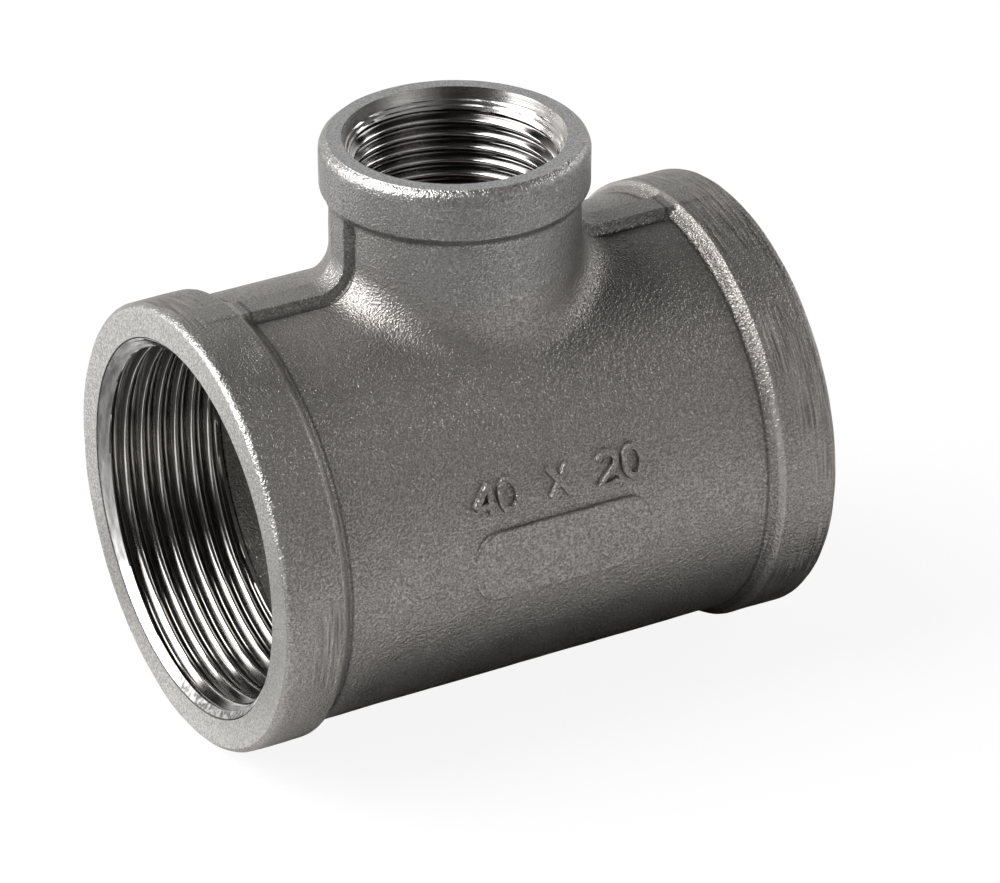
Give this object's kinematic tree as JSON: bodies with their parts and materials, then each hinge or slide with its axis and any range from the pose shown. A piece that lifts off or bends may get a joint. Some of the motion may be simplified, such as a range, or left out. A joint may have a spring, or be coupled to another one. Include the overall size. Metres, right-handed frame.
{
  "type": "pipe tee",
  "caption": "Cast reducing pipe tee with banded, internally threaded ports: two large ones in line and a smaller one at right angles, with ribs between them.",
  "frame": {"origin": "under the crossing of the run and branch axes, at the lowest point of the run's end bands", "axes": "+X along the run, +Z along the branch and out of its mouth, -Y towards the side that carries the flat pad"},
  "size_m": [0.076, 0.0564, 0.0722],
  "materials": {
    "cast_steel": "bead-blasted investment-cast stainless steel, dull grey and finely grained, with bright turned countersinks and threads"
  },
  "bodies": {
    "root": {"tee_body": "cast_steel"}
  },
  "joints": []
}
